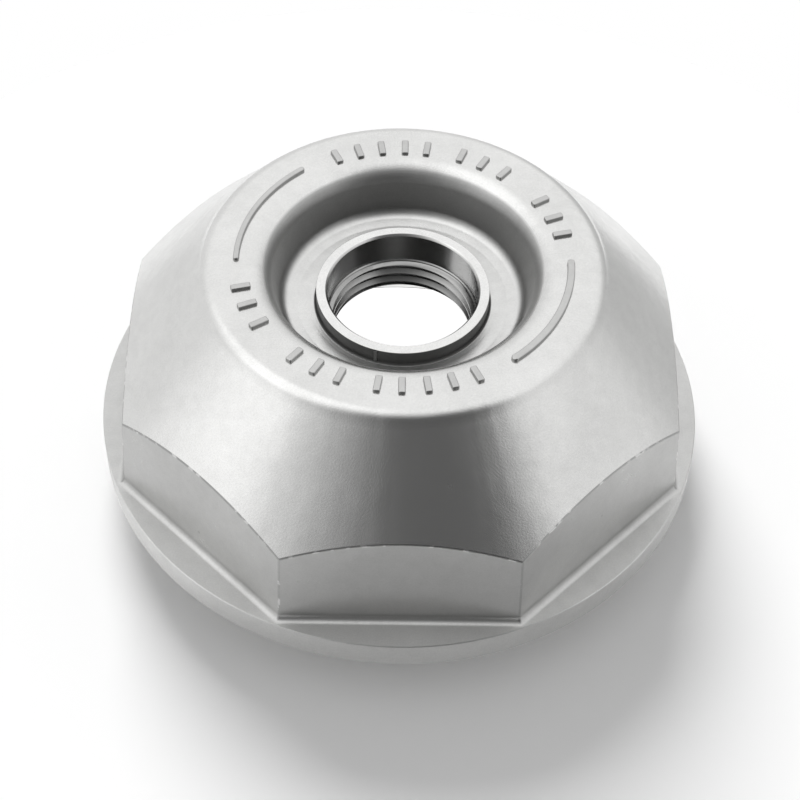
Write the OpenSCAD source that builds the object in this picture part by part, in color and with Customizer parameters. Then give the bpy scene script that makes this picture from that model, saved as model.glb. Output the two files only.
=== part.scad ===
// Hub grease cap: one casting, screwed into the end of a wheel hub and turned by its eight flats.
// Millimetres, +Z up. The origin is on the axis, at the foot of the spigot.
// A flat faces -Y and another faces +X.

/* [Flange] */
// Diameter of the round flange that seats on the hub
flange_d = 136; // [134:1:150]
// Thickness of the flange
flange_t = 6.7; // [4:0.1:9]
// Width of the small chamfer along the flange's upper rim
flange_edge = 0.3; // [0.1:0.1:0.6]

/* [Wrench flats] */
// Distance across two opposite flats
across_flats = 120; // [112:0.5:120.5]
// Height of the corners between the flats, above the flange's underside
corner_h = 26.1; // [22:0.1:28]
// Radius of the fillet along the foot of each flat
foot_r = 2.2; // [1:0.1:2.4]

/* [Crown] */
// Height of the crown above the flange's underside
crown_h = 52; // [46:0.5:60]
// Diameter of the crown's flat top, where its outer shoulder starts
crown_d = 81.8; // [78:0.1:86]
// Width of the crown's flat ring, from the recess lip to the shoulder
crown_w = 7.4; // [6:0.1:9]
// Radius of the crown's outer shoulder
shoulder_r = 3; // [2:0.1:4]
// How far the shoulder stands out past the line of the flank
shoulder_rise = 0.18; // [0.1:0.01:0.4]
// Radius of the shallow valley between shoulder and flank
valley_r = 12; // [8:0.5:16]

/* [Recess] */
// Radius of the rounded lip of the recess
lip_r = 5.5; // [4:0.1:6]
// Slope of the recess wall, in degrees from level
recess_angle = 75; // [70:1:80]
// Depth of the recess floor below the crown
recess_depth = 11.4; // [9:0.1:12]
// Radius of the fillet round the recess floor
recess_fillet = 2.5; // [1:0.1:3]

/* [Collar and plug hole] */
// Outside diameter of the collar
collar_d = 37.6; // [37:0.1:39]
// Height of the collar's turned top above the recess floor
collar_rise = 2.9; // [2:0.1:5]
// Width of the shallow channel round the collar
channel_w = 4; // [2:0.1:4.4]
// Depth of the channel
channel_depth = 0.8; // [0.3:0.1:1.2]
// Diameter of the smooth counterbore
counterbore_d = 32.7; // [32:0.1:34]
// Depth of the counterbore below the collar's top
counterbore_depth = 7.5; // [5:0.1:9]
// Width of the chamfer at the counterbore's mouth
mouth_chamfer = 0.45; // [0.2:0.05:0.6]
// Diameter of the tapped hole over the crests of its thread
tapped_d = 30.5; // [29:0.1:31]
// Length of the tapped wall
tapped_l = 7.4; // [6:0.1:9]

/* [Level marks] */
// Height of the raised marks above the crown
mark_rise = 0.7; // [0.4:0.1:1.2]
// Length of a graduation bar, along the radius
bar_l = 4.2; // [3:0.1:5]
// Width of a graduation bar
bar_w = 1.5; // [0.8:0.1:2]
// Distance from the recess lip to the middle of the bars
bar_out = 1.8; // [1.5:0.1:3.5]
// Distance from the recess lip to the middle of the level lines
line_out = 2.2; // [1.5:0.1:4]
// Width of a level line
line_w = 1.3; // [0.8:0.1:2]

/* [Spigot and hollow] */
// Diameter of the spigot over its thread
spigot_d = 115; // [112:0.5:118]
// Length of the spigot below the flange
spigot_h = 11; // [8:0.5:14]
// Width of the seal groove under the flange
groove_w = 2.4; // [1.5:0.1:3]
// Depth of the seal groove
groove_depth = 1.6; // [1:0.1:2]
// Lead chamfer at the foot of the spigot
lead_chamfer = 1.2; // [0.8:0.1:2]
// Thickness of the spigot's wall
spigot_t = 5.5; // [4:0.1:7]
// Chamfer at the open end of the hollow
hollow_edge = 0.5; // [0.3:0.1:1]
// Thickness of the cast wall behind the flats
flat_t = 8.5; // [7:0.1:10]
// Thickness of the cast wall under the flank, the crown and the recess
wall_t = 6; // [5:0.1:7]
// Thickness of the boss round the tapped hole
boss_t = 5.2; // [4:0.1:6]

/* [Hidden] */
$fn = 96;

seat_z = spigot_h;
flange_z = seat_z + flange_t;
crown_z = seat_z + crown_h;
floor_z = crown_z - recess_depth;
collar_z = floor_z + collar_rise;
step_z = collar_z - counterbore_depth;
flange_r = flange_d / 2;
spigot_r = spigot_d / 2;
collar_r = collar_d / 2;
tapped_r = tapped_d / 2;
counterbore_r = counterbore_d / 2;
hollow_r = spigot_r - spigot_t;
flat_hollow_r = across_flats / 2 - flat_t;
lip_mid_r = crown_d / 2 - crown_w;
bar_mid_r = lip_mid_r + bar_out;
line_mid_r = lip_mid_r + line_out;

// The flats, and the angle from one to the next.
flats = 8;
flat_turn = 360 / flats;
corner_r = across_flats / 2 / cos(flat_turn / 2);

// Middle of the shoulder's arc.
shoulder_mid_r = crown_d / 2;
shoulder_mid_z = crown_z - shoulder_r;

// The flank runs from the corners between the flats up to the shoulder, which stands out past it.
flank_out = corner_r - shoulder_mid_r;
flank_drop = shoulder_mid_z - seat_z - corner_h;
shoulder_in = shoulder_r - shoulder_rise;
flank_angle = atan2(flank_drop, flank_out) + asin(shoulder_in / norm([flank_out, flank_drop]));
flank_x = sin(flank_angle);
flank_y = cos(flank_angle);
flank_off = flank_x * corner_r + flank_y * (seat_z + corner_h);
function flank_z(r, inside = 0) = (flank_off - inside - flank_x * r) / flank_y;
function flank_r(z, inside = 0) = (flank_off - inside - flank_y * z) / flank_x;

// Middle of the valley's arc, which touches both flank and shoulder.
valley_up = shoulder_r + valley_r - shoulder_rise;
valley_down = sqrt(pow(shoulder_r + valley_r, 2) - pow(valley_up, 2));
valley_mid = [
    shoulder_mid_r + valley_up * flank_x + valley_down * flank_y,
    shoulder_mid_z + valley_up * flank_y - valley_down * flank_x
];
valley_low = [valley_mid[0] - valley_r * flank_x, valley_mid[1] - valley_r * flank_y];
valley_share = shoulder_r / (shoulder_r + valley_r);
valley_top = [
    shoulder_mid_r + (valley_mid[0] - shoulder_mid_r) * valley_share,
    shoulder_mid_z + (valley_mid[1] - shoulder_mid_z) * valley_share
];

// The recess wall touches the lip's arc above and the floor's fillet below.
wall_x = sin(recess_angle);
wall_y = cos(recess_angle);
lip_mid_z = crown_z - lip_r;
lip_low = [lip_mid_r - lip_r * wall_x, lip_mid_z + lip_r * wall_y];
function recess_r(z) = lip_low[0] - (lip_low[1] - z) * wall_y / wall_x;
fillet_mid = [recess_r(floor_z + recess_fillet) - recess_fillet / wall_x, floor_z + recess_fillet];
fillet_top = [fillet_mid[0] + recess_fillet * wall_x, fillet_mid[1] - recess_fillet * wall_y];

// The channel is a shallow arc beside the collar.
channel_r = (pow(channel_w / 2, 2) + pow(channel_depth, 2)) / (2 * channel_depth);

// The tapped wall starts below a cone that leads in from the counterbore.
tapped_z = step_z - (counterbore_r - tapped_r);
boss_z = tapped_z - tapped_l;
boss_r = counterbore_r + boss_t;
ceiling_z = crown_z - wall_t;
floor_under_z = floor_z - wall_t;
boss_draft = 0.5;
past = 1;
block_w = flange_d + 2 * past;

// Places of the bars round the crown, in degrees from +X; half a turn on, they repeat.
bar_angles = [14, 22.5, 32, 51, 60, 68.5, 81.5, 89.5, 98, 106.5, 115];
line_from = 128.5;
line_to = 181;

cast_colour = [0.80, 0.80, 0.79];

// Half outline of the whole blank: spigot, seal groove, flange, flank, crown, recess and collar.
module blank_section() {
    difference() {
        polygon([
            [0, 0],
            [spigot_r - lead_chamfer, 0],
            [spigot_r, lead_chamfer],
            [spigot_r, seat_z - groove_w],
            [spigot_r - groove_depth, seat_z - groove_w],
            [spigot_r - groove_depth, seat_z],
            [flange_r, seat_z],
            [flange_r, flange_z - flange_edge],
            [flange_r - flange_edge, flange_z],
            [flange_r - flange_edge, flank_z(flange_r - flange_edge)],
            valley_low,
            valley_top,
            [shoulder_mid_r, crown_z],
            [0, crown_z]
        ]);
        translate(valley_mid) circle(r = valley_r);
        recess_section();
        translate([collar_r + channel_w / 2, floor_z + channel_r - channel_depth]) circle(r = channel_r);
    }
    translate([shoulder_mid_r, shoulder_mid_z]) circle(r = shoulder_r);
    translate([0, boss_z]) square([collar_r, collar_z - boss_z]);
}

// Half outline of the dished recess: a rounded lip, a sloping wall and a filleted floor.
module recess_section() {
    difference() {
        polygon([
            [0, floor_z],
            [fillet_mid[0], floor_z],
            fillet_top,
            lip_low,
            [lip_mid_r, crown_z],
            [lip_mid_r, crown_z + past],
            [0, crown_z + past]
        ]);
        translate([lip_mid_r, lip_mid_z]) circle(r = lip_r);
    }
    translate(fillet_mid) circle(r = recess_fillet);
}

// Cross-section of one pair of opposite flats, with a fillet along each foot, on a block wide
// enough to leave the flange and the spigot whole.
module flat_section() {
    foot_w = across_flats + 2 * foot_r;
    translate([-across_flats / 2, seat_z]) square([across_flats, crown_h + 2 * past]);
    translate([-block_w / 2, -past]) square([block_w, flange_z + past]);
    difference() {
        translate([-foot_w / 2, flange_z]) square([foot_w, foot_r]);
        for (side = [-1, 1]) translate([side * foot_w / 2, flange_z + foot_r]) circle(r = foot_r);
    }
}

module flat_pair(turn) {
    rotate([90, 0, turn]) linear_extrude(height = block_w, center = true) flat_section();
}

// The octagon block, with a corner on +X: four pairs of flats crossed, so each corner is a mitre.
module octagon_block() {
    intersection_for (pair = [0 : flats / 2 - 1]) flat_pair((pair - 0.5) * flat_turn);
}

// Half outline of the hollow inside, which leaves the boss and the recess standing down in it.
module hollow_section() {
    wall_in = recess_r(floor_under_z) + wall_t / wall_x;
    polygon([
        [0, -past],
        [hollow_r + hollow_edge + past, -past],
        [hollow_r, hollow_edge],
        [hollow_r, seat_z],
        [flat_hollow_r, flange_z],
        [flat_hollow_r, flank_z(flat_hollow_r, wall_t)],
        [flank_r(ceiling_z, wall_t), ceiling_z],
        [recess_r(ceiling_z) + wall_t / wall_x, ceiling_z],
        [wall_in, floor_under_z],
        [boss_r + boss_draft, floor_under_z],
        [boss_r, boss_z],
        [0, boss_z]
    ]);
}

// Half outline of the plug hole: mouth chamfer, counterbore, lead-in cone and tapped wall.
module plug_section() {
    polygon([
        [0, boss_z - past],
        [tapped_r, boss_z - past],
        [tapped_r, tapped_z],
        [counterbore_r, step_z],
        [counterbore_r, collar_z - mouth_chamfer],
        [counterbore_r + mouth_chamfer, collar_z],
        [counterbore_r + mouth_chamfer, collar_z + past],
        [0, collar_z + past]
    ]);
}

// One level line: an arc with square ends.
module level_line() {
    translate([0, 0, crown_z - past]) rotate([0, 0, line_from])
        rotate_extrude(angle = line_to - line_from)
            translate([line_mid_r - line_w / 2, 0]) square([line_w, mark_rise + past]);
}

// One raised graduation bar.
module level_bar() {
    translate([bar_mid_r - bar_l / 2, -bar_w / 2, crown_z - past]) cube([bar_l, bar_w, mark_rise + past]);
}

// All the raised marks, alike on both halves of the crown.
module level_marks() {
    for (half = [0, 180]) rotate([0, 0, half]) {
        level_line();
        for (turn = bar_angles) rotate([0, 0, turn]) level_bar();
    }
}

module hub_cap() {
    color(cast_colour) difference() {
        union() {
            intersection() {
                rotate_extrude() blank_section();
                rotate([0, 0, flat_turn / 2]) octagon_block();
            }
            level_marks();
        }
        rotate_extrude() hollow_section();
        rotate_extrude() plug_section();
    }
}

hub_cap();
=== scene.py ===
# %% [markdown]
# # A hub grease cap in cast aluminium
# The object is one casting: a round flange, eight wrench flats, a conical flank, a dished crown and
# a tapped fill hole in a turned collar. It screws into the end of a wheel hub. Everything below is
# in metres in that frame, with the cap's axis on Z and its foot at zero.

from math import acos, asin, atan2, cos, degrees, hypot, pi, radians, sin, tan

import bmesh
import bpy
from mathutils import Matrix, Vector


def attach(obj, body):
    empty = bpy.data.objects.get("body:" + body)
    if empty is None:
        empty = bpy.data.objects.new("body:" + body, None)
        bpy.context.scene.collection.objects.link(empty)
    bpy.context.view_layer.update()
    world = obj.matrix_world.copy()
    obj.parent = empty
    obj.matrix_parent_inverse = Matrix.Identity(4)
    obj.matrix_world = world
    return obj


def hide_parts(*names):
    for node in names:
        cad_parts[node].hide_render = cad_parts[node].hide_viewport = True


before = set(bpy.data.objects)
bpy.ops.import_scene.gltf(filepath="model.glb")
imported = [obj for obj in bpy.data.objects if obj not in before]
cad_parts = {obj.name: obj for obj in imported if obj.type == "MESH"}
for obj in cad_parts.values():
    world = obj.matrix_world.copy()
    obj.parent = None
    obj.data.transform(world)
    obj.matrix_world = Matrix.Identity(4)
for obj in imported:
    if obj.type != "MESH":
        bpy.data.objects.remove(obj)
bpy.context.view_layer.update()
MM = 0.001

# %% [markdown]
# ## The camera
# The photograph looks down on the cap at about fifty degrees, with a moderately long lens.
# A camera can be placed by eye, but a fit to the rims of the cap is far closer: the ellipses of the
# flange, the crown and the collar fix the height, the distance and the lens together.

# %% Camera
LENS_MM, SENSOR_MM = 87.29, 36.0
CAMERA_AT = (-0.00568, -0.29006, 0.35873)
CAMERA_TURN = (40.333, -1.060, 0.114)
lens_data = bpy.data.cameras.new("photo_camera")
lens_data.sensor_width = SENSOR_MM
lens_data.lens = LENS_MM
camera = bpy.data.objects.new("photo_camera", lens_data)
camera.location = CAMERA_AT
camera.rotation_euler = [radians(turn) for turn in CAMERA_TURN]
bpy.context.scene.collection.objects.link(camera)
bpy.context.scene.camera = camera
bpy.context.scene.view_settings.view_transform = "Standard"
print("camera at", [round(v, 3) for v in camera.location], "lens", LENS_MM)

# %% [markdown]
# ## Sizes of the outside
# These are real sizes in millimetres. Radii are measured from the axis and heights from the foot of
# the spigot. Nearly all are the same as in the part's own source. Only the draft of the flats, their
# foot fillet and the dish of the recess floor differ a little, because the photograph asks for it.

# %% Sizes of the flange, the flats and the crown
SEAT_Z, FLANGE_Z, CROWN_Z = 11.0, 17.7, 63.0
FLANGE_R, RIM_CHAMFER, SEAT_EDGE = 68.0, 0.2, 0.4
FLAT_A, CORNER_Z, DRAFT = 60.0, 37.1, 1.1
FOOT_OUT, FOOT_UP = 1.5, 1.5
CROWN_R, SHOULDER_R, SHOULDER_RISE, VALLEY_R = 40.9, 3.0, 0.18, 12.0
corner_r = FLAT_A / cos(pi / 8)
print("flats", 2 * FLAT_A, "mm across, corners at radius", round(corner_r, 2))

# %% [markdown]
# ## Sizes of the recess and the plug hole
# The crown turns down through a wide lip into the recess. The recess floor is a very shallow dish,
# with a channel one step deeper at the foot of the collar. The collar holds the plug hole: a smooth
# counterbore above and a coarse thread below. A thread is given by its crest, its root and its pitch.

# %% Sizes of the recess, the collar and the plug hole
LIP_START_R, LIP_FILLET, RECESS_SLOPE = 33.5, 5.5, radians(75)
FLOOR_Z, FLOOR_FILLET = 51.6, 2.5
DISH_R, DISH_DROP, DISH_LIP = 22.9, 0.6, 0.1
CHANNEL_R, CHANNEL_DROP, CHANNEL_ROUND = 20.2, 0.8, 0.6
COLLAR_R, COLLAR_Z, COLLAR_EDGE = 18.8, 54.5, 0.18
COUNTERBORE_R, STEP_Z, MOUTH = 16.35, 47.0, 0.45
BORE_CREST_R, BORE_ROOT_R, BORE_PITCH = 15.25, 16.15, 2.5
BORE_Z, BORE_CREST_Z = 38.5, 42.6
print("collar", 2 * COLLAR_R, "mm across, plug hole", 2 * BORE_CREST_R, "mm over its crests")

# %% [markdown]
# ## Sizes of the hidden side
# The photograph shows nothing of the underside, so these sizes follow from how such caps are made:
# a wall of even thickness, a threaded spigot with a lead-in, and a groove for the seal at the seat.

# %% Sizes of the spigot and the hollow
SPIGOT_R, SPIGOT_ROOT_R, SPIGOT_PITCH, SPIGOT_CREST_Z = 57.5, 56.4, 2.0, 4.0
LEAD_IN_R, LEAD_IN_Z = 56.2, 0.6
GROOVE_R, GROOVE_FROM, GROOVE_TO = 55.9, 7.6, 8.2
HOLLOW_R, HOLLOW_TOP_R, HOLLOW_EDGE = 52.0, 51.5, 0.5
WALL, BOSS_WALL, BOSS_DRAFT, BORE_EXIT = 6.0, 5.2, 0.5, 0.35
print("spigot", 2 * SPIGOT_R, "mm over its thread, wall", WALL, "mm")

# %% [markdown]
# ## The cone of the flank
# The flank is a straight cone that passes through the corners between the flats and touches the
# rounding of the crown's shoulder. Its angle isn't chosen but follows from the crown's height and
# diameter. The wall's inside is a cone parallel to it, so both helpers can be asked for either.

# %% Cone of the flank
flank_out, flank_drop = corner_r - CROWN_R, CROWN_Z - SHOULDER_R - CORNER_Z
shoulder_part = asin((SHOULDER_R - SHOULDER_RISE) / hypot(flank_out, flank_drop))
flank_angle = atan2(flank_drop, flank_out) + shoulder_part
flank_off = sin(flank_angle) * corner_r + cos(flank_angle) * CORNER_Z


def flank_r(z, inside=0.0):
    """Radius of the flank's cone at a height, or of a cone parallel to it further in."""
    return (flank_off - inside - cos(flank_angle) * z) / sin(flank_angle)


def flank_z(r, inside=0.0):
    """Height of the flank's cone at a radius, or of a cone parallel to it further in."""
    return (flank_off - inside - sin(flank_angle) * r) / cos(flank_angle)


print("flank slope in degrees:", round(degrees(flank_angle), 2))

# %% [markdown]
# ## Corners that follow from the sizes
# Some corners of the outline are where two faces would meet if nothing were rounded. They come from
# the radii and the angles by plain geometry. Between the crown's shoulder and the cone lies a faint
# valley, so that the one runs softly into the other.

# %% Corners of the shoulder, the recess and the inside
def recess_r(z):
    """Radius of the recess wall at a height."""
    lip_r = LIP_START_R - LIP_FILLET * tan(RECESS_SLOPE / 2)
    return lip_r - (CROWN_Z - z) / tan(RECESS_SLOPE)


valley_turn = acos(1 - SHOULDER_RISE / (SHOULDER_R + VALLEY_R))
shoulder_turn = flank_angle + valley_turn
shoulder_corner = (CROWN_R + SHOULDER_R * tan(shoulder_turn / 2), CROWN_Z)
valley_leg = SHOULDER_R * tan(shoulder_turn / 2) + VALLEY_R * tan(valley_turn / 2)
valley_corner = (shoulder_corner[0] + valley_leg * cos(shoulder_turn),
                 CROWN_Z - valley_leg * sin(shoulder_turn))
lip_corner = (recess_r(CROWN_Z), CROWN_Z)
floor_corner = (recess_r(FLOOR_Z), FLOOR_Z)
dish_turn = atan2(DISH_DROP, floor_corner[0] - DISH_R)
channel_z = FLOOR_Z - CHANNEL_DROP
channel_turn = atan2(CHANNEL_DROP - DISH_DROP - DISH_LIP, DISH_R - CHANNEL_R)

wall_across = WALL / sin(RECESS_SLOPE)
ceiling_z, under_z = CROWN_Z - WALL, FLOOR_Z - WALL
boss_r = COUNTERBORE_R + BOSS_WALL
boss_corner = (boss_r + BOSS_DRAFT, under_z)
under_corner = (recess_r(under_z) + wall_across, under_z)
ceiling_corner = (recess_r(ceiling_z) + wall_across, ceiling_z)
inner_shoulder = (flank_r(ceiling_z, WALL), ceiling_z)
hollow_corner = (HOLLOW_TOP_R, flank_z(HOLLOW_TOP_R, WALL))
for name, (r, z) in (("shoulder", shoulder_corner), ("valley", valley_corner)):
    print(name, "corner at radius", round(r, 2), "and height", round(z, 2))

# %% [markdown]
# ## The outline that is turned
# A founder's pattern for such a cap is turned on a lathe, so a half outline spun round the axis is
# the natural start. Only its corners are written down. The roundings are put in later with the
# bevel operator, which keeps each radius a single number. The outline is split where the threads
# go, because a thread is a helix and not a ring, and where the flats go, because they aren't round.

# %% Outline corners
FLANK_END_Z = 30.0
upper_outline = [
    (flank_r(FLANK_END_Z), FLANK_END_Z),
    valley_corner,
    shoulder_corner,
    lip_corner,
    floor_corner,
    (DISH_R, FLOOR_Z - DISH_DROP),
    (DISH_R - 0.2, FLOOR_Z - DISH_DROP - DISH_LIP),
    (CHANNEL_R, channel_z),
    (COLLAR_R, channel_z),
    (COLLAR_R, COLLAR_Z),
    (COUNTERBORE_R + MOUTH, COLLAR_Z),
    (COUNTERBORE_R, COLLAR_Z - MOUTH),
    (COUNTERBORE_R, STEP_Z),
    (BORE_ROOT_R - 0.05, STEP_Z - 0.25),
    (BORE_ROOT_R, STEP_Z - 0.6),
]
lower_outline = [
    (BORE_ROOT_R, BORE_Z + BORE_EXIT),
    (BORE_ROOT_R + BORE_EXIT, BORE_Z),
    (boss_r, BORE_Z),
    boss_corner,
    under_corner,
    ceiling_corner,
    inner_shoulder,
    hollow_corner,
    (HOLLOW_TOP_R, FLANGE_Z),
    (HOLLOW_R, SEAT_Z),
    (HOLLOW_R, HOLLOW_EDGE),
    (HOLLOW_R + HOLLOW_EDGE, 0),
    (LEAD_IN_R, 0),
    (SPIGOT_ROOT_R, LEAD_IN_Z),
]
flange_outline = [
    (SPIGOT_ROOT_R, GROOVE_FROM),
    (GROOVE_R, GROOVE_TO),
    (GROOVE_R, SEAT_Z),
    (FLANGE_R, SEAT_Z),
    (FLANGE_R, FLANGE_Z - RIM_CHAMFER),
    (FLANGE_R - RIM_CHAMFER, FLANGE_Z),
]
print("outline corners:", len(upper_outline), len(lower_outline), len(flange_outline))

# %% [markdown]
# ## Spinning the outlines
# Each outline becomes a chain of edges that bmesh.ops.spin carries a full turn round the axis.
# The chain starts at 22.5 degrees, in the plane of a corner between two flats, so the flats' corners
# fall exactly on a row of vertices. With 192 steps the round rims stay smooth close up.

# %% Spin the outlines
AROUND = 192
START = radians(22.5)
AXIS = Vector((0, 0, 1))


def spin_outline(bm, corners):
    """Turns a half outline of (radius, height) corners a full turn round Z."""
    verts = [bm.verts.new((r * MM * cos(START), r * MM * sin(START), z * MM)) for r, z in corners]
    edges = [bm.edges.new(pair) for pair in zip(verts, verts[1:])]
    bmesh.ops.spin(bm, geom=verts + edges, cent=(0, 0, 0), axis=AXIS, angle=2 * pi,
                   steps=AROUND, use_merge=True, use_duplicate=False)


cap = bmesh.new()
for corners in (upper_outline, lower_outline, flange_outline):
    spin_outline(cap, corners)
print("faces after spinning:", len(cap.faces))

# %% [markdown]
# ## Rounding the turned corners
# A casting has no sharp inside or outside corners, and where a tool has turned it the burr is broken.
# The bevel operator rounds a ring of edges, and its offset is the radius times the tangent of half
# the turn between the two faces. Large radii get more segments than small ones. The valley's radius
# is a hair short of full, so that its rounding doesn't run into the shoulder's.

# %% Round the rings
def round_edges(bm, edges, offset, segments, clamp=False):
    """Rounds edges with the bevel operator, by an offset in millimetres, and returns its faces."""
    return bmesh.ops.bevel(bm, geom=edges, affect="EDGES", offset_type="OFFSET",
                           offset=offset * MM, segments=segments, profile=0.5, material=-1,
                           clamp_overlap=clamp)["faces"]


def ring_edges(bm, r, z, near=0.002):
    """Edges that run round the axis at one radius and height."""
    def on_ring(v):
        return abs(hypot(v.co.x, v.co.y) / MM - r) < near and abs(v.co.z / MM - z) < near
    return [e for e in bm.edges if on_ring(e.verts[0]) and on_ring(e.verts[1])]


square = pi / 2
rings = [
    (shoulder_corner, SHOULDER_R, shoulder_turn, 8),
    (valley_corner, VALLEY_R * 0.99, valley_turn, 5),
    (lip_corner, LIP_FILLET, RECESS_SLOPE, 10),
    (floor_corner, FLOOR_FILLET, RECESS_SLOPE - dish_turn, 7),
    ((CHANNEL_R, channel_z), 3.0, channel_turn, 4),
    ((COLLAR_R, channel_z), CHANNEL_ROUND, square, 4),
    ((COLLAR_R, COLLAR_Z), COLLAR_EDGE, square, 2),
    ((boss_r, BORE_Z), 1.5, square, 4),
    (boss_corner, 2.5, square, 5),
    (under_corner, 2.0, RECESS_SLOPE, 5),
    (ceiling_corner, 1.5, RECESS_SLOPE, 4),
    (inner_shoulder, 2.5, flank_angle, 5),
    (hollow_corner, 5.0, square - flank_angle, 6),
    ((FLANGE_R, SEAT_Z), SEAT_EDGE, square, 2),
]
for corner, radius, turn, segments in rings:
    edges = ring_edges(cap, *corner)
    if len(edges) != AROUND:
        print("ring missing at", corner, len(edges))
    round_edges(cap, edges, radius * tan(turn / 2), segments, clamp=True)
print("rings rounded:", len(rings), "faces:", len(cap.faces))

# %% [markdown]
# ## Cutting the flats
# On the real cap the flats are cast, but they lie as if eight planes had sliced the cone, which
# gives each flat its arched top. bisect_plane does that slicing: it cuts the flank along each
# plane and clears what lies outside. What is left open is a wavy rim of eight arches.

# %% Cut the flank with eight planes
SHOULDER_END_R, VALLEY_CLEAR = 43.5, 0.4


def flank_geometry(bm):
    """Faces, edges and vertices of the flank below the valley."""
    def beyond(v, r):
        return hypot(v.co.x, v.co.y) > r * MM
    top = (valley_corner[1] - VALLEY_CLEAR) * MM
    foot = (FLANK_END_Z - 0.5) * MM
    faces = [f for f in bm.faces if f.normal.length
             and min(v.co.z for v in f.verts) < top
             and all(v.co.z > foot and beyond(v, SHOULDER_END_R) for v in f.verts)
             and any(beyond(v, FLAT_A) for v in f.verts)]
    edges = {e for f in faces for e in f.edges}
    verts = {v for f in faces for v in f.verts}
    return faces + list(edges) + list(verts)


for k in range(8):
    way = Matrix.Rotation(k * pi / 4, 3, "Z") @ Vector((1, 0, 0))
    bmesh.ops.bisect_plane(cap, geom=flank_geometry(cap), dist=1e-6, plane_co=way * FLAT_A * MM,
                           plane_no=way, clear_outer=True)
arched_rim = [e for e in cap.edges if e.is_boundary and e.verts[0].co.z > FLANK_END_Z * MM
              and hypot(e.verts[0].co.x, e.verts[0].co.y) > (FLAT_A - 5) * MM]
print("edges in the arched rim:", len(arched_rim))

# %% [markdown]
# ## Dropping the flats to the flange
# The arched rim is extruded and its copy is flattened to one level, a little wider. So each flat is
# a strip of quads with the slight draft that lets a casting leave its mould. The fillet at the foot
# comes from more extrusions of the same rim, each a little wider and lower along a quarter circle.
# Because the rim is scaled as an octagon, the fillets meet in true mitres. The last loop is bridged
# to the flange's rim.

# %% Flats, foot fillet and flange top
FILLET_STEPS = 7


def only_verts(geom):
    """The vertices among what an operator returned."""
    return [g for g in geom if isinstance(g, bmesh.types.BMVert)]


def extrude_loop(bm, loop, scale, z):
    """Extrudes a loop of edges to a new level and widens it round the axis."""
    made = bmesh.ops.extrude_edge_only(bm, edges=loop)["geom"]
    verts = only_verts(made)
    for v in verts:
        v.co.z = z * MM
    bmesh.ops.scale(bm, vec=(scale, scale, 1), space=Matrix.Identity(4), verts=verts)
    return [g for g in made if isinstance(g, bmesh.types.BMEdge)]


across = FLAT_A + DRAFT
loop = extrude_loop(cap, arched_rim, across / FLAT_A, FLANGE_Z + FOOT_UP)
for step in range(1, FILLET_STEPS + 1):
    turn = square * step / FILLET_STEPS
    wider = FLAT_A + DRAFT + FOOT_OUT * (1 - cos(turn))
    loop = extrude_loop(cap, loop, wider / across, FLANGE_Z + FOOT_UP * (1 - sin(turn)))
    across = wider
rim_edges = [e for e in ring_edges(cap, FLANGE_R - RIM_CHAMFER, FLANGE_Z) if e.is_boundary]
bmesh.ops.bridge_loops(cap, edges=loop + rim_edges)
print("flange rim edges:", len(rim_edges), "foot loop edges:", len(loop))

# %% [markdown]
# ## One turn of a thread
# A thread is a helix. One pitch of its section is spun with dvec, which lifts the section a little
# at every step, so that it climbs one pitch a turn. Copies of that turn are stacked a pitch apart,
# and each joins the one below. A coil drawn by formula would do as well, but spin keeps the section
# as five plain corners.

# %% Wind and stack the turns
def wind_turn(crest_r, root_r, pitch, base):
    """One turn of a thread as a bmesh of its own, with its first crest at a height."""
    coil = bmesh.new()
    section = [(crest_r, 0.0), (crest_r, 0.14), (root_r, 0.46), (root_r, 0.66), (crest_r, 1.0)]
    verts = [coil.verts.new((r * MM * cos(START), r * MM * sin(START), (base + share * pitch) * MM))
             for r, share in section]
    edges = [coil.edges.new(pair) for pair in zip(verts, verts[1:])]
    bmesh.ops.spin(coil, geom=verts + edges, cent=(0, 0, 0), axis=AXIS,
                   dvec=(0, 0, pitch * MM / AROUND), angle=2 * pi, steps=AROUND,
                   use_merge=False, use_duplicate=False)
    return coil


def stack_turns(coil, pitch, copies):
    """Stacks copies of the first turn on it, a pitch apart."""
    one_turn = coil.verts[:] + coil.edges[:] + coil.faces[:]
    for turn in range(1, copies + 1):
        copy = bmesh.ops.duplicate(coil, geom=one_turn)["geom"]
        bmesh.ops.translate(coil, vec=(0, 0, turn * pitch * MM), verts=only_verts(copy))
    bmesh.ops.remove_doubles(coil, verts=coil.verts, dist=1e-6)


print("a turn has", AROUND, "steps and climbs", BORE_PITCH, "mm in the plug hole")

# %% [markdown]
# ## Trimming a thread level
# A tool starts and ends its cut at a level face, so two planes trim the coil. Where a plane crosses
# a slanting edge between two rows it leaves one vertex too many, which is welded to its neighbour.
# Then both ends have one vertex for each row, as the turned walls have.

# %% Trim the ends
def row_of(v):
    """Where a vertex lies round the axis, counted in rows of the spin."""
    return (atan2(v.co.y, v.co.x) - START) / (2 * pi / AROUND)


def trim_ends(coil, low, high):
    """Cuts a coil level at two heights and leaves one vertex a row on both rims."""
    for level, way in ((high, 1), (low, -1)):
        bmesh.ops.bisect_plane(coil, geom=coil.verts[:] + coil.edges[:] + coil.faces[:], dist=1e-7,
                               plane_co=(0, 0, level * MM), plane_no=(0, 0, way), clear_outer=True)
    welds = {}
    for v in coil.verts:
        row = round(row_of(v))
        if v.is_boundary and abs(row_of(v) - row) > 1e-3:
            rims = [e.other_vert(v) for e in v.link_edges if e.is_boundary]
            welds[v] = min(rims, key=lambda w: abs(row_of(w) - row))
    bmesh.ops.weld_verts(coil, targetmap=welds)


print("a row spans", round(360 / AROUND, 3), "degrees")

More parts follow.
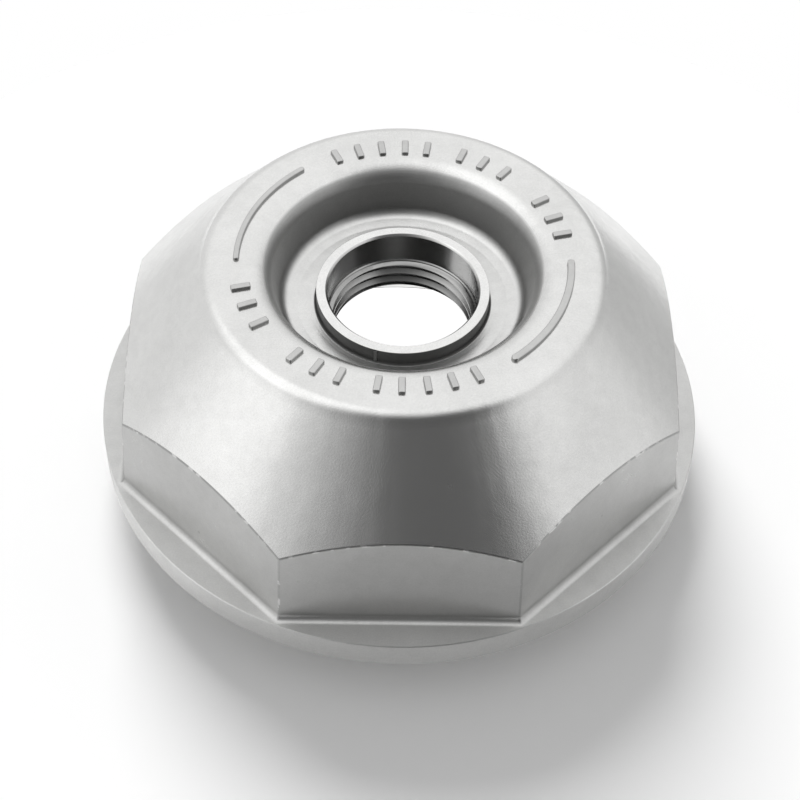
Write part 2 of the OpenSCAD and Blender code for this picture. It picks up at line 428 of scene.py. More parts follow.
# %% [markdown]
# ## The two threads
# The plug hole and the spigot get their threads. Each coil is taken into the cap's mesh, and its
# trimmed ends are drawn out by one extrusion to the open rings of the walls above and below, which
# gives the short run-out that a cut thread has. bridge_loops looks like the natural tool for this,
# but on these loops it drew faces right across the hollow.

# %% Helical threads
def take_in(bm, other):
    """Adds a bmesh to another one and frees it."""
    part = bpy.data.meshes.new("passing_part")
    other.to_mesh(part)
    other.free()
    bm.from_mesh(part)
    bpy.data.meshes.remove(part)


def thread(bm, crest_r, root_r, pitch, low, high, crest_z):
    """Adds a right-hand thread between two heights and returns its lower and upper loops."""
    base = crest_z - pitch * (int((crest_z - low) / pitch) + 2)
    coil = wind_turn(crest_r, root_r, pitch, base)
    stack_turns(coil, pitch, int((high - base) / pitch))
    trim_ends(coil, low, high)
    faces_before = len(bm.faces)
    take_in(bm, coil)
    bm.faces.ensure_lookup_table()
    ends = {e for f in bm.faces[faces_before:] for e in f.edges if e.is_boundary}
    middle = (low + high) / 2 * MM
    lower = [e for e in ends if e.verts[0].co.z < middle]
    return lower, [e for e in ends if e.verts[0].co.z > middle]


def draw_out(bm, loop, corner):
    """Draws a thread's trimmed end out to the ring of a turned wall."""
    r, z = corner
    for v in only_verts(bmesh.ops.extrude_edge_only(bm, edges=loop)["geom"]):
        away = Vector((v.co.x, v.co.y, 0)).normalized()
        v.co = away * r * MM + AXIS * z * MM
    return len(loop)


lower, upper = thread(cap, BORE_CREST_R, BORE_ROOT_R, BORE_PITCH,
                      BORE_Z + 0.7, STEP_Z - 0.9, BORE_CREST_Z)
print("plug hole's thread ends:", draw_out(cap, lower, lower_outline[0]),
      draw_out(cap, upper, upper_outline[-1]))
lower, upper = thread(cap, SPIGOT_R, SPIGOT_ROOT_R, SPIGOT_PITCH,
                      LEAD_IN_Z + 0.3, GROOVE_FROM - 0.2, SPIGOT_CREST_Z)
print("spigot's thread ends:", draw_out(cap, lower, lower_outline[-1]),
      draw_out(cap, upper, flange_outline[0]))

# %% [markdown]
# ## Closing the shell and softening the flats' edges
# The parts of the shell meet vertex on vertex, so merging doubles closes it, and the normals are
# then turned outwards. The arches over the flats and the corners between them are still as sharp as
# the planes left them, and a cast edge is not, so they get a small rounding. These edges also get a
# painted shade and show the wear, so their vertices are noted for the paint. They are noted by
# number, which stays good when the paint's layers are added.

# %% Close the shell and round its sharp cast edges
EDGE_ROUND, EDGE_SEGMENTS, ARCH_TOP_Z = 0.35, 5, 43.0
bmesh.ops.remove_doubles(cap, verts=cap.verts, dist=2e-6)
bmesh.ops.recalc_face_normals(cap, faces=cap.faces)


def is_flat_edge(e):
    """True on the arches over the flats and on the upright corners between them."""
    if not e.is_manifold or degrees(e.calc_face_angle(0)) < 20:
        return False
    middle = (e.verts[0].co + e.verts[1].co) / 2 / MM
    return FLANGE_Z + 0.3 < middle.z < ARCH_TOP_Z and hypot(middle.x, middle.y) > FLAT_A - 0.5


sharp = [e for e in cap.edges if is_flat_edge(e)]
edge_faces = set(round_edges(cap, sharp, EDGE_ROUND, EDGE_SEGMENTS, clamp=True))
cap.verts.index_update()
edge_shade_and_wear = {v.index for f in edge_faces for v in f.verts
        if all(other in edge_faces for other in v.link_faces)}
open_edges = sum(1 for e in cap.edges if not e.is_manifold)
print("edges softened:", len(sharp), "worn vertices:", len(edge_shade_and_wear), "open edges:", open_edges)
print("faces:", len(cap.faces), "volume in cm3:", round(cap.calc_volume() * 1e6, 1))

# %% [markdown]
# ## Painting the shade and the skin
# Blasting leaves an even bright satin on the open faces. Where the shot hardly reaches, the metal
# keeps a coarser casting skin. Hollows, creases, steep walls, the flats and the marks' feet are also
# painted darker as painted shade. A picture could hold that pattern, but numbers painted at the
# vertices follow the form exactly: how much painted shade there is, how coarse the skin is, and
# whether it is an edge.

# %% Paint helpers
PAINTS = ("painted_shade", "skin_coarse", "skin_edge")


def paint_shade_and_skin(bm, rule):
    """Stores at each vertex its painted shade, how coarse the skin is, and if it is an edge."""
    bm.normal_update()
    layers = [bm.verts.layers.float.new(name) for name in PAINTS]
    for v in bm.verts:
        for layer, value in zip(layers, rule(v, hypot(v.co.x, v.co.y) / MM, v.co.z / MM)):
            v[layer] = value


def between(value, low, high):
    """How far a value lies from low to high, held within 0 and 1."""
    return min(1, max(0, (value - low) / (high - low)))


print("paints:", ", ".join(PAINTS))

# %% [markdown]
# ## Where the painted shade lies
# The deepest painted shade is on the collar's outside, then in the plug hole's thread, in the hollow
# and on the steep wall of the recess. The flats and the top of the flange get a little less, and the
# fillet between them less still; the flange's outer rim gets only a little. The edges round the flats
# get painted shade too, and bright nicks of wear later. The crown and the flank stay clean.

# %% Paint the casting
# The first number of each is painted shade, the second the skin's coarseness, the third an edge.
EDGE_SHADE_AND_WEAR = (0.52, 0.5, 1.0)
COLLAR_SHADE = (0.88, 1.0, 0.0)
HOLLOW_SHADE = (0.60, 1.0, 0.0)
FLAT_SHADE = (0.40, 0.4, 0.0)
RIM_SHADE = (0.16, 0.8, 0.0)
FLANGE_SHADE = (0.43, 0.0, 0.0)
CLEAN_SKIN = (0.0, 0.0, 0.0)
BELOW_FLOOR_Z, RECESS_MOUTH_R = FLOOR_Z - 1.3, 31.0
STEEP_FROM, STEEP_TO = 0.92, 0.66


def cap_shade_and_skin(v, r, z):
    """Painted shade, coarseness of the skin and edge, by place and by the way it faces."""
    up = v.normal.z
    in_hollow = (r < HOLLOW_R + 0.1 and HOLLOW_EDGE + 0.1 < z < ceiling_z
                 and z < flank_z(r, WALL) + 0.1 and up < 0.3)
    # Painted shade along the edges round the flats, which also get the nicks of wear.
    if v.index in edge_shade_and_wear:
        return EDGE_SHADE_AND_WEAR
    # Painted shade on the recess wall, the more the steeper it is.
    if COLLAR_R + 0.6 < r < RECESS_MOUTH_R and BELOW_FLOOR_Z < z < CROWN_Z - 1.5:
        steep = between(up, STEEP_FROM, STEEP_TO)
        return 0.03 + 0.46 * steep, 0.35 + 0.65 * steep, 0.0
    # Painted shade on the collar's outside.
    if abs(r - COLLAR_R) < 0.5 and BELOW_FLOOR_Z < z < COLLAR_Z - 0.1:
        return COLLAR_SHADE
    # Painted shade in the plug hole, deeper at the thread's roots and towards its foot.
    if r < COUNTERBORE_R + 0.1 and BORE_Z - 0.1 < z < COLLAR_Z - 0.4:
        root = between(r, BORE_CREST_R + 0.1, BORE_ROOT_R - 0.2) if z < STEP_Z - 0.8 else 0
        return 0.50 + 0.22 * root + 0.22 * between(z, STEP_Z - 3, BORE_Z + 1), 0.3, 0.0
    # Painted shade in the hollow.
    if in_hollow:
        return HOLLOW_SHADE
    # Painted shade in the fillet at the foot of the flats, more towards the flats.
    if r > FLAT_A and FLANGE_Z - 0.05 < z < FLANGE_Z + FOOT_UP - 0.1:
        return 0.18 + 0.15 * between(z, FLANGE_Z, FLANGE_Z + 0.6), 1.0, 0.0
    # Painted shade on the flats.
    if r > FLAT_A - 0.1 and FLANGE_Z < z < ARCH_TOP_Z and up < 0.35:
        return FLAT_SHADE
    # Painted shade on the flange's outer rim.
    if r > FLANGE_R - RIM_CHAMFER - 0.1 and SEAT_Z < z < FLANGE_Z - 0.1:
        return RIM_SHADE
    # Painted shade on the top of the flange.
    if r > FLAT_A and SEAT_Z < z < FLANGE_Z + 0.05:
        return FLANGE_SHADE
    return CLEAN_SKIN


paint_shade_and_skin(cap, cap_shade_and_skin)
print("skin painted on", len(cap.verts), "vertices")

# %% [markdown]
# ## Turned faces
# After casting, the collar's top, the plug hole, the seat and the spigot are turned on a lathe. They
# get their own material slot, chosen by where the faces lie.

# %% Pick the turned faces
CAST, TURNED = 0, 1
for face in cap.faces:
    middle = face.calc_center_median() / MM
    r, z = hypot(middle.x, middle.y), middle.z
    collar_top = r < COLLAR_R + 0.05 and z > COLLAR_Z - 0.25
    plug_hole = r < COUNTERBORE_R + 0.6 and z > BORE_Z - 0.05
    spigot = r > SPIGOT_R - 1.7 and z < SEAT_Z + 0.05
    face.material_index = TURNED if collar_top or plug_hole or spigot else CAST
print("turned faces:", sum(face.material_index for face in cap.faces))

# %% [markdown]
# ## From mesh to object
# The mesh is already in its place, so the object stays at the origin. Shading is smooth except at
# true corners, and the weighted normals keep the large faces flat up to their small roundings. The
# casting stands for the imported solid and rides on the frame's only body.

# %% Make the object
SHARP_ANGLE = radians(42)


def make_object(bm, name):
    """Turns a bmesh into an object at the origin with smooth, area-weighted shading."""
    mesh = bpy.data.meshes.new(name)
    bm.to_mesh(mesh)
    bm.free()
    mesh.shade_smooth()
    mesh.set_sharp_from_angle(angle=SHARP_ANGLE)
    made = bpy.data.objects.new(name, mesh)
    bpy.context.scene.collection.objects.link(made)
    weighted = made.modifiers.new("even_shading", "WEIGHTED_NORMAL")
    weighted.keep_sharp = True
    return made


casting = make_object(cap, "cap_casting")
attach(casting, "root")
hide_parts("hub_cap")
print("casting:", len(casting.data.polygons), "faces")

# %% [markdown]
# ## Level marks
# Raised marks round the crown show where the level should stand. On this part they are two long
# lines and two plain scales of bars, which repeat half a turn apart. Each bar is a cube stretched
# to size, sunk a little into the crown, with its edges rounded.

# %% Bars of the two scales
BAR_ANGLES = (14, 22.5, 32, 51, 60, 68.5, 81.5, 89.5, 98, 106.5, 115)
BAR_MID_R, BAR_L, BAR_W = 35.3, 4.2, 1.5
MARK_RISE, MARK_SUNK, MARK_ROUND = 0.7, 0.5, 0.3
MARK_H, MARK_MID_Z = MARK_RISE + MARK_SUNK, CROWN_Z + (MARK_RISE - MARK_SUNK) / 2
marks = bmesh.new()
for half in (0, 180):
    for angle in BAR_ANGLES:
        bar = bmesh.ops.create_cube(marks, size=1)["verts"]
        turned_by = Matrix.Rotation(radians(half + angle), 3, "Z")
        bmesh.ops.scale(marks, vec=(BAR_L * MM, BAR_W * MM, MARK_H * MM), verts=bar)
        bmesh.ops.translate(marks, vec=(BAR_MID_R * MM, 0, MARK_MID_Z * MM), verts=bar)
        bmesh.ops.rotate(marks, cent=(0, 0, 0), matrix=turned_by, verts=bar)
round_edges(marks, marks.edges[:], MARK_ROUND, 3)
print("bars:", 2 * len(BAR_ANGLES))

# %% [markdown]
# ## The level lines
# Each line follows the crown's curve, so a stretched cube would not do. A short edge as long as the
# line is wide is spun through an arc, which makes a curved strip, and the strip is raised. Its
# upright ends get a wide rounding and then its top a narrow one, as a cutter leaves them in a mould.
# The two lines differ a little in width, as they do in the photograph.

# %% Draw one level line
LINE_MID_R, LINE_FROM, LINE_TO, LINE_STEPS = 35.7, 128.5, 181.0, 48
LINE_WIDTHS = ((0, 1.25), (180, 1.6))


def turning_edges(bm, is_wanted):
    """Edges that pass a test and lie between faces that turn by more than 45 degrees."""
    return [e for e in bm.edges if is_wanted(e) and degrees(e.calc_face_angle(0)) > 45]


def level_line(first, wide):
    """One raised arc with rounded ends, as a bmesh of its own."""
    bm = bmesh.new()
    turned_by = Matrix.Rotation(radians(first), 3, "Z")
    ends = [bm.verts.new(turned_by @ Vector((r * MM, 0, (CROWN_Z - MARK_SUNK) * MM)))
            for r in (LINE_MID_R - wide / 2, LINE_MID_R + wide / 2)]
    edge = bm.edges.new(ends)
    bmesh.ops.spin(bm, geom=ends + [edge], cent=(0, 0, 0), axis=AXIS,
                   angle=radians(LINE_TO - LINE_FROM), steps=LINE_STEPS,
                   use_merge=False, use_duplicate=False)
    raised = bmesh.ops.extrude_face_region(bm, geom=bm.faces[:], use_keep_orig=True)["geom"]
    bmesh.ops.translate(bm, vec=(0, 0, MARK_H * MM), verts=only_verts(raised))
    bmesh.ops.recalc_face_normals(bm, faces=bm.faces)
    upright = turning_edges(bm, lambda e: abs(e.verts[0].co.z - e.verts[1].co.z) > MM)
    round_edges(bm, upright, 0.45 * wide, 5)
    top = turning_edges(bm, lambda e: min(v.co.z for v in e.verts) > (CROWN_Z + 0.1) * MM)
    round_edges(bm, top, MARK_ROUND, 3)
    return bm


for half, wide in LINE_WIDTHS:
    take_in(marks, level_line(half + LINE_FROM, wide))
bmesh.ops.recalc_face_normals(marks, faces=marks.faces)
print("marks open edges:", sum(1 for e in marks.edges if not e.is_manifold),
      "faces:", len(marks.faces))

# %% [markdown]
# ## The marks as a piece
# The marks get painted shade at their foot and on their sides and less on their tops, so the paint
# follows the height. All the marks are one piece, since they are cast with the cap and have the same
# finish everywhere.

# %% Paint and place the marks
def mark_shade_and_skin(v, r, z):
    """Painted shade, deep at the foot of the marks and on their sides, light on their tops."""
    mark_top = CROWN_Z + MARK_RISE
    return 0.22 + 0.40 * between(z, mark_top - 0.02, mark_top - 0.25), 0.8, 0.0


paint_shade_and_skin(marks, mark_shade_and_skin)
level_marks = make_object(marks, "level_marks")
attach(level_marks, "root")
print("level marks:", len(level_marks.data.polygons), "faces")

# %% [markdown]
# ## The seam on the collar
# Where the two halves of a core met, a casting keeps a thin upright seam. Here a trace of it is left
# on the outside of the collar. It is a small cube stretched, rounded and turned to its place.

# %% Seam on the collar
# The seam gets a deep painted shade, as the collar's outside does.
SEAM_AT, SEAM_ROUND, SEAM_SHADE = -107.6, 0.2, (0.82, 1.0, 0.0)
SEAM_DEEP, SEAM_WIDE, SEAM_HIGH = 0.6, 0.9, 3.1
SEAM_MID_R, SEAM_MID_Z = COLLAR_R - 0.02, COLLAR_Z - 1.95
seam = bmesh.new()
bmesh.ops.create_cube(seam, size=1)
bmesh.ops.scale(seam, vec=(SEAM_DEEP * MM, SEAM_WIDE * MM, SEAM_HIGH * MM), verts=seam.verts)
round_edges(seam, seam.edges[:], SEAM_ROUND, 3)
bmesh.ops.translate(seam, vec=(SEAM_MID_R * MM, 0, SEAM_MID_Z * MM), verts=seam.verts)
bmesh.ops.rotate(seam, cent=(0, 0, 0), matrix=Matrix.Rotation(radians(SEAM_AT), 3, "Z"),
                 verts=seam.verts)
paint_shade_and_skin(seam, lambda v, r, z: SEAM_SHADE)
collar_seam = make_object(seam, "collar_seam")
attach(collar_seam, "root")
print("seam at", SEAM_AT, "degrees:", len(collar_seam.data.polygons), "faces")

# %% [markdown]
# ## Shader helpers
# Node trees are easier to read when each small sum is one line of code. These helpers add a node,
# link or fill its inputs, and hand back its output.

# %% Node helpers
def new_node(tree, kind, **values):
    """Adds a node and sets its properties."""
    node = tree.nodes.new(kind)
    for name, value in values.items():
        setattr(node, name, value)
    return node


def feed(tree, socket, value):
    """Links a socket, or sets it where the value is a plain number or vector."""
    if isinstance(value, bpy.types.NodeSocket):
        tree.links.new(value, socket)
    else:
        socket.default_value = value


def fed_node(tree, kind, *inputs, **values):
    """Adds a node, fills its first inputs in order and returns its outputs."""
    node = new_node(tree, kind, **values)
    for socket, value in zip(node.inputs, inputs):
        feed(tree, socket, value)
    return node.outputs


def times(tree, first, second):
    """The product of two values."""
    return fed_node(tree, "ShaderNodeMath", first, second, operation="MULTIPLY")[0]


def plus(tree, first, second):
    """The sum of two values."""
    return fed_node(tree, "ShaderNodeMath", first, second, operation="ADD")[0]


def minus(tree, first, second):
    """The first value less the second."""
    return fed_node(tree, "ShaderNodeMath", first, second, operation="SUBTRACT")[0]


print("helpers for sums:", times.__name__, plus.__name__, minus.__name__)

# %% [markdown]
# ## Helpers for patterns
# A pattern starts from a place on the piece, is measured by noise, and is cut to a range by a smooth
# step. Places are Object coordinates, because the pattern then stays on the piece when it moves.

# %% Pattern helpers
def object_place(tree):
    """A point's place on its object."""
    return new_node(tree, "ShaderNodeTexCoord").outputs["Object"]


def split_xyz(tree, vector):
    """The X, Y and Z of a vector."""
    return fed_node(tree, "ShaderNodeSeparateXYZ", vector)


def ramp(tree, value, low, high, out_low=0.0, out_high=1.0):
    """A smooth step from one value to another."""
    node = new_node(tree, "ShaderNodeMapRange", interpolation_type="SMOOTHSTEP")
    feed(tree, node.inputs["Value"], value)
    for name, number in (("From Min", low), ("From Max", high),
                         ("To Min", out_low), ("To Max", out_high)):
        feed(tree, node.inputs[name], number)
    return node.outputs["Result"]


def noise(tree, where, scale, detail=2.0):
    """Noise from -0.5 to 0.5 at points of the object."""
    node = new_node(tree, "ShaderNodeTexNoise")
    feed(tree, node.inputs["Vector"], where)
    feed(tree, node.inputs["Scale"], scale)
    feed(tree, node.inputs["Detail"], detail)
    return minus(tree, node.outputs["Fac"], 0.5)


print("helpers for patterns:", ramp.__name__, noise.__name__)

# %% [markdown]
# ## Cast grain as a node group
# Two finishes share the grain of the metal: a fine grain from the shot, a slow unevenness of the
# mould, faint bands that run down the slope, and a pore here and there. As a group it is built once,
# with inputs for the strength of each. It gives a height in metres, a tone, and the places where an
# edge has been nicked.

# %% Grain group and its sockets
grain = bpy.data.node_groups.new("metal_grain", "ShaderNodeTree")
for name in ("Grain", "Mould", "Bands", "Pores"):
    strength = grain.interface.new_socket(name=name, in_out="INPUT", socket_type="NodeSocketFloat")
    strength.default_value = 1.0
for name in ("Height", "Tone", "Nicks"):
    grain.interface.new_socket(name=name, in_out="OUTPUT", socket_type="NodeSocketFloat")
asked = new_node(grain, "NodeGroupInput").outputs
given = new_node(grain, "NodeGroupOutput").inputs
print("grain sockets:", len(asked) - 1, "in,", len(given) - 1, "out")

# %% [markdown]
# ## The patterns of the grain
# Each pattern is one noise with its own scale: the higher the number, the finer the pattern. The
# bands must run down the slope, so their noise is read mostly by the bearing round the axis. A pore
# is the middle of a Voronoi cell, in only one cell out of fifty, because most cells stay sound.

# %% Patterns of the grain
FINE, MIDDLE, SLOW, BANDED, PORE_CELLS = 2600.0, 420.0, 75.0, 7.0, 210.0
place = object_place(grain)
here = split_xyz(grain, place)
level_place = fed_node(grain, "ShaderNodeCombineXYZ", here["X"], here["Y"])[0]
bearing = fed_node(grain, "ShaderNodeVectorMath", level_place, operation="NORMALIZE")[0]
band_place = fed_node(grain, "ShaderNodeVectorMath", bearing, place, operation="ADD")[0]
fine = noise(grain, place, FINE, 3.0)
middle = noise(grain, place, MIDDLE, 3.0)
slow = noise(grain, place, SLOW, 2.0)
bands = noise(grain, band_place, BANDED, 1.5)
cells = new_node(grain, "ShaderNodeTexVoronoi")
feed(grain, cells.inputs["Vector"], place)
feed(grain, cells.inputs["Scale"], PORE_CELLS)
chance = fed_node(grain, "ShaderNodeSeparateColor", cells.outputs["Color"])[0]
pore_dot = ramp(grain, cells.outputs["Distance"], 0.04, 0.11, 1.0, 0.0)
pore = times(grain, times(grain, pore_dot, ramp(grain, chance, 0.975, 0.98)), asked["Pores"])
print("grain group nodes:", len(grain.nodes))

# %% [markdown]
# ## Height, tone and nicks of the grain
# The height feeds a bump, so it is in real metres: hundredths of a millimetre for the grain and a
# tenth for the mould. The tone lies round 1 and will multiply the metal's colour.

# %% Height, tone and nicks
FINE_HEIGHT, MOULD_HEIGHT, BAND_HEIGHT, PORE_DEPTH = 0.000016, 0.00012, 0.00010, 0.00001
SLOW_TONE, FINE_TONE, MIDDLE_TONE, PORE_TONE = 0.14, 0.16, 0.12, 0.5
height = times(grain, times(grain, fine, asked["Grain"]), FINE_HEIGHT)
for layer, name, metres in ((slow, "Mould", MOULD_HEIGHT), (bands, "Bands", BAND_HEIGHT)):
    height = plus(grain, height, times(grain, times(grain, layer, asked[name]), metres))
height = minus(grain, height, times(grain, pore, PORE_DEPTH))
tone = plus(grain, times(grain, slow, SLOW_TONE), times(grain, fine, FINE_TONE))
tone = plus(grain, tone, times(grain, middle, MIDDLE_TONE))
tone = minus(grain, plus(grain, 1.0, tone), times(grain, pore, PORE_TONE))
feed(grain, given["Height"], height)
feed(grain, given["Tone"], tone)
feed(grain, given["Nicks"], ramp(grain, middle, 0.04, 0.14))
print("grain group nodes:", len(grain.nodes), "links:", len(grain.links))

# %% [markdown]
# ## Blasted cast aluminium
# A clean casting is a fairly smooth metal mirror broken up by fine grain, so the look comes from a
# metallic shader of middling roughness. The painted shade darkens the colour and the painted skin
# makes it rougher. On the edges round the flats the nicks of wear lighten it again. The same recipe
# serves the turned faces with other values, so it is a function.

# %% Blasted aluminium
NICK_LIGHT, UNEVEN_ROUGH = 0.34, 0.6


def metal(name, colour, roughness, coarser, strengths):
    """A metal with the shared grain, darkened by the painted shade."""
    made = bpy.data.materials.new(name)
    made.use_nodes = True
    tree = made.node_tree
    shader = tree.nodes["Principled BSDF"]
    feed(tree, shader.inputs["Metallic"], 1.0)
    surface = new_node(tree, "ShaderNodeGroup", node_tree=grain)
    for socket, value in strengths.items():
        surface.inputs[socket].default_value = value
    dark, coarse, edge = (new_node(tree, "ShaderNodeAttribute", attribute_name=paint).outputs["Fac"]
                          for paint in PAINTS)
    lightness = times(tree, surface.outputs["Tone"], minus(tree, 1.0, dark))
    nicks = times(tree, edge, surface.outputs["Nicks"])
    lightness = plus(tree, lightness, times(tree, nicks, NICK_LIGHT))
    tint = new_node(tree, "ShaderNodeMix", data_type="RGBA")
    feed(tree, tint.inputs["Factor"], lightness)
    feed(tree, tint.inputs["A"], (0.0, 0.0, 0.0, 1.0))
    feed(tree, tint.inputs["B"], (*colour, 1.0))
    tint.clamp_factor = False
    feed(tree, shader.inputs["Base Color"], tint.outputs["Result"])
    uneven = times(tree, minus(tree, surface.outputs["Tone"], 1.0), UNEVEN_ROUGH)
    rough = plus(tree, minus(tree, roughness, uneven), times(tree, coarse, coarser))
    feed(tree, shader.inputs["Roughness"], rough)
    bump = new_node(tree, "ShaderNodeBump")
    feed(tree, bump.inputs["Distance"], 1.0)
    feed(tree, bump.inputs["Height"], surface.outputs["Height"])
    feed(tree, shader.inputs["Normal"], bump.outputs[0])
    return made, surface, bump


blasted = metal("blasted_aluminium", (0.80, 0.80, 0.79), 0.23, 0.20,
                {"Grain": 1.0, "Mould": 1.0, "Bands": 1.0, "Pores": 0.4})[0]
print("blasted aluminium nodes:", len(blasted.node_tree.nodes))

# %% [markdown]
# ## Turned aluminium
# The lathe leaves fine rings round the axis. A wave of the distance that the tool has travelled,
# outwards and upwards, gives their height, which is added to a fainter share of the same grain.

# %% Turned aluminium
RING_PITCH, RING_HEIGHT = 0.00022, 0.0000012
turned, surface, bump = metal("turned_aluminium", (0.86, 0.86, 0.85), 0.17, 0.15,
                              {"Grain": 0.3, "Mould": 0.2, "Bands": 0.2, "Pores": 0.0})
tree = turned.node_tree
level_place = fed_node(tree, "ShaderNodeVectorMath", object_place(tree), (1.0, 1.0, 0.0),
                       operation="MULTIPLY")[0]
outward = fed_node(tree, "ShaderNodeVectorMath", level_place, operation="LENGTH")["Value"]
travelled = plus(tree, outward, split_xyz(tree, object_place(tree))["Z"])
wave = fed_node(tree, "ShaderNodeMath", times(tree, travelled, 2 * pi / RING_PITCH),
                operation="SINE")[0]
feed(tree, bump.inputs["Height"], plus(tree, surface.outputs["Height"],
                                       times(tree, wave, RING_HEIGHT)))
for piece in (casting, level_marks, collar_seam):
    piece.data.materials.append(blasted)
casting.data.materials.append(turned)
print("materials:", blasted.name, turned.name)

# %% [markdown]
# ## The studio's room
# Metal shows its surroundings, so these matter as much as its material. The room is nearly white on
# all sides but one: the side where the camera stands is dark, which gives the flank its dark middle.
# That dark side fades out softly to the left, to the right and upwards. A real backdrop would do the
# same, but a world made of nodes needs no more objects and throws no shadow.

# %% World
LEFT_FADE, RIGHT_FADE, TOP_FADE = (-158, -88), (-54, -30), (39, 88)
WALL_FADE, WALL_LOW, WALL_HIGH = (5, 45), 0.80, 0.98
DARKNESS = 0.89
world = bpy.data.worlds.new("studio")
bpy.context.scene.world = world
world.use_nodes = True
sky = world.node_tree
sky.nodes.clear()
background = new_node(sky, "ShaderNodeBackground")
feed(sky, background.inputs["Color"], (1.0, 1.0, 1.0, 1.0))
feed(sky, new_node(sky, "ShaderNodeOutputWorld").inputs["Surface"], background.outputs[0])
direction = new_node(sky, "ShaderNodeTexCoord").outputs["Generated"]
toward = split_xyz(sky, direction)
azimuth = fed_node(sky, "ShaderNodeMath", toward["Y"], toward["X"], operation="ARCTAN2")[0]
elevation = fed_node(sky, "ShaderNodeMath", toward["Z"], operation="ARCSINE")[0]


def fade(angle, between_degrees, out_low, out_high):
    """A smooth step over an angle of the room, given in degrees."""
    low, high = between_degrees
    return ramp(sky, angle, radians(low), radians(high), out_low, out_high)


left_edge = fade(azimuth, LEFT_FADE, 0.0, 1.0)
right_edge = fade(azimuth, RIGHT_FADE, 1.0, 0.0)
top_edge = fade(elevation, TOP_FADE, 1.0, 0.0)
dark_side = times(sky, times(sky, left_edge, right_edge), top_edge)
walls = fade(elevation, WALL_FADE, WALL_LOW, WALL_HIGH)
print("room nodes:", len(sky.nodes))

# %% [markdown]
# ## Softboxes in the room
# Two soft bright patches stand at the left, one low and one high, and a patch low at the back right
# takes light away. Each is a cone of directions that fades outwards. The dark side is laid over
# their sum.

# %% Softboxes
def heading(bearing, height):
    """The direction of a bearing and a height in degrees."""
    bearing, height = radians(bearing), radians(height)
    return Vector((cos(bearing) * cos(height), sin(bearing) * cos(height), sin(height)))


def softbox(bearing, height, spread, strength):
    """A soft bright patch of wall, given by its bearing and height in degrees."""
    near = fed_node(sky, "ShaderNodeVectorMath", direction, heading(bearing, height),
                    operation="DOT_PRODUCT")["Value"]
    return ramp(sky, near, cos(radians(spread)), cos(radians(spread / 4)), 0.0, strength)


SOFTBOXES = ((-163, 17, 32, 0.28), (-175, 57, 38, 0.30), (45, -15, 45, -0.25))
room = walls
for patch in SOFTBOXES:
    room = plus(sky, room, softbox(*patch))
room = times(sky, room, minus(sky, 1.0, times(sky, dark_side, DARKNESS)))
print("softboxes:", len(SOFTBOXES))

# %% [markdown]
# ## What each ray meets
# The camera meets plain white, which is the photograph's background. Reflections meet the room.
# All other rays meet an even half light, which fills the shadow on the floor without flooding it.

# %% What each ray meets
FILL_LIGHT = 0.5
rays = new_node(sky, "ShaderNodeLightPath").outputs
mirrored = plus(sky, rays["Is Glossy Ray"], rays["Is Transmission Ray"])
light = FILL_LIGHT
for ray, brightness in ((mirrored, room), (rays["Is Camera Ray"], 1.0)):
    choice = new_node(sky, "ShaderNodeMix", data_type="FLOAT")
    feed(sky, choice.inputs["Factor"], ray)
    feed(sky, choice.inputs["A"], light)
    feed(sky, choice.inputs["B"], brightness)
    light = choice.outputs["Result"]
feed(sky, background.inputs["Strength"], light)
print("world nodes:", len(sky.nodes))

# %% [markdown]
# ## The lamp
# One wide lamp from behind gives the floor its soft shadow in front of the cap. Its strength is
# worked out from its height, so that a level white sheet gets a chosen share of full light from it.
# It isn't seen in reflections, because the room already gives them.

# %% Lamp
LAMP_BEARING, LAMP_HEIGHT, LAMP_SPREAD, LAMP_SHARE = 105, 40, 30, 0.54
lamp_data = bpy.data.lights.new("window_lamp", "SUN")
lamp_data.energy = LAMP_SHARE * pi / sin(radians(LAMP_HEIGHT))
lamp_data.angle = radians(LAMP_SPREAD)
lamp = bpy.data.objects.new("window_lamp", lamp_data)
lamp.rotation_euler = heading(LAMP_BEARING, LAMP_HEIGHT).to_track_quat("Z", "Y").to_euler()
lamp.visible_glossy = False
bpy.context.scene.collection.objects.link(lamp)
print("lamp strength:", round(lamp_data.energy, 3))

# %% [markdown]
# ## Floor
# The floor is a round sheet of white paper. It ends near the top of the picture, where the white
# world carries on behind it. It isn't part of the object, and neither is the card after it.

# %% Floor
FLOOR_RADIUS, PAPER_WHITE = 165.0, 0.98


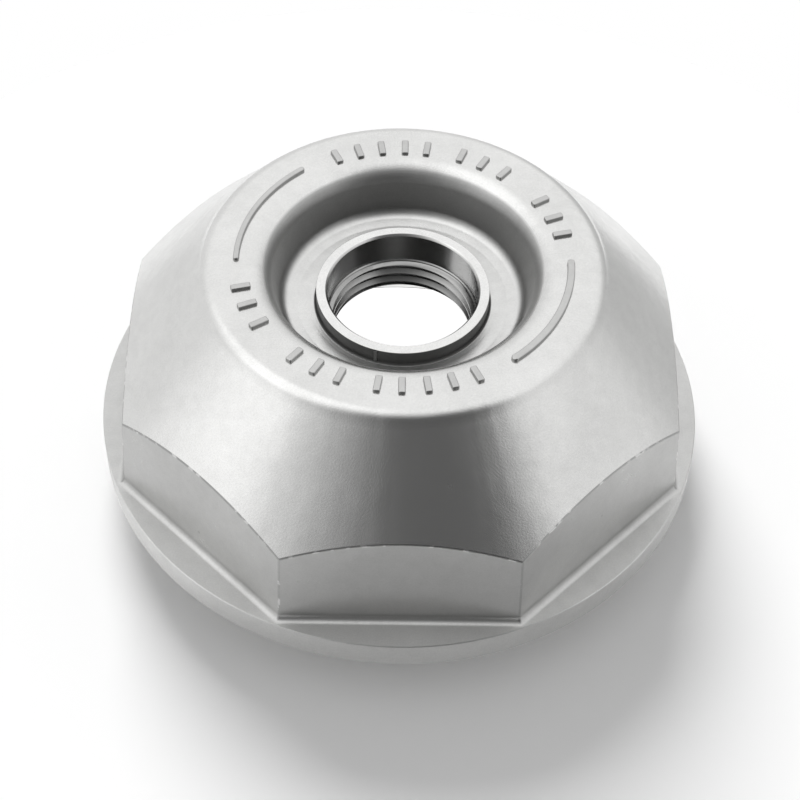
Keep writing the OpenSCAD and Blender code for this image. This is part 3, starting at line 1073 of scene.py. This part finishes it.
def lay_disc(name, material, radius, z, segments):
    """A flat disc of the studio, with sizes in millimetres, which is no part of the object."""
    disc = bmesh.new()
    bmesh.ops.create_circle(disc, cap_ends=True, segments=segments, radius=radius * MM)
    bmesh.ops.translate(disc, vec=(0, 0, z * MM), verts=disc.verts)
    data = bpy.data.meshes.new(name)
    disc.to_mesh(data)
    disc.free()
    data.materials.append(material)
    made = bpy.data.objects.new(name, data)
    bpy.context.scene.collection.objects.link(made)


paper = bpy.data.materials.new("white_paper")
paper.use_nodes = True
paper_shader = paper.node_tree.nodes["Principled BSDF"]
paper_shader.inputs["Base Color"].default_value = (PAPER_WHITE, PAPER_WHITE, PAPER_WHITE, 1)
paper_shader.inputs["Roughness"].default_value = 0.95
paper_shader.inputs["Specular IOR Level"].default_value = 0.0
lay_disc("studio_floor", paper, FLOOR_RADIUS, 0.0, 128)
print("floor", 2 * FLOOR_RADIUS, "mm across")

# %% [markdown]
# ## Card under the cap
# Under the open cap lies a white card, because the photograph shows white through the plug hole,
# where a closed shadow would be dark. The camera sees all of it white. In reflections only its back
# left part is fully lit, since the photograph's counterbore is bright on one side only.

# %% Card
CARD_R, CARD_Z, CARD_WHITE = 52.2, 0.1, 0.9
CARD_FRONT, CARD_RIGHT, CARD_FADE, CARD_DIM = 3.0, 19.0, 8.0, 0.12
card_paint = bpy.data.materials.new("lit_card")
card_paint.use_nodes = True
tree = card_paint.node_tree
card_shader = tree.nodes["Principled BSDF"]
card_shader.inputs["Base Color"].default_value = (CARD_WHITE, CARD_WHITE, CARD_WHITE, 1)
card_shader.inputs["Emission Color"].default_value = (1, 1, 1, 1)
rays = new_node(tree, "ShaderNodeLightPath").outputs
spot = split_xyz(tree, object_place(tree))
at_back = fed_node(tree, "ShaderNodeMath", spot["Y"], CARD_FRONT * MM, operation="GREATER_THAN")[0]
at_left = ramp(tree, spot["X"], CARD_RIGHT * MM, (CARD_RIGHT + CARD_FADE) * MM, 1.0, CARD_DIM)
mirrored = plus(tree, rays["Is Glossy Ray"], rays["Is Transmission Ray"])
lit = times(tree, mirrored, times(tree, at_back, at_left))
feed(tree, card_shader.inputs["Emission Strength"], plus(tree, rays["Is Camera Ray"], lit))
lay_disc("card_under_cap", card_paint, CARD_R, CARD_Z, 96)
print("card", 2 * CARD_R, "mm across")
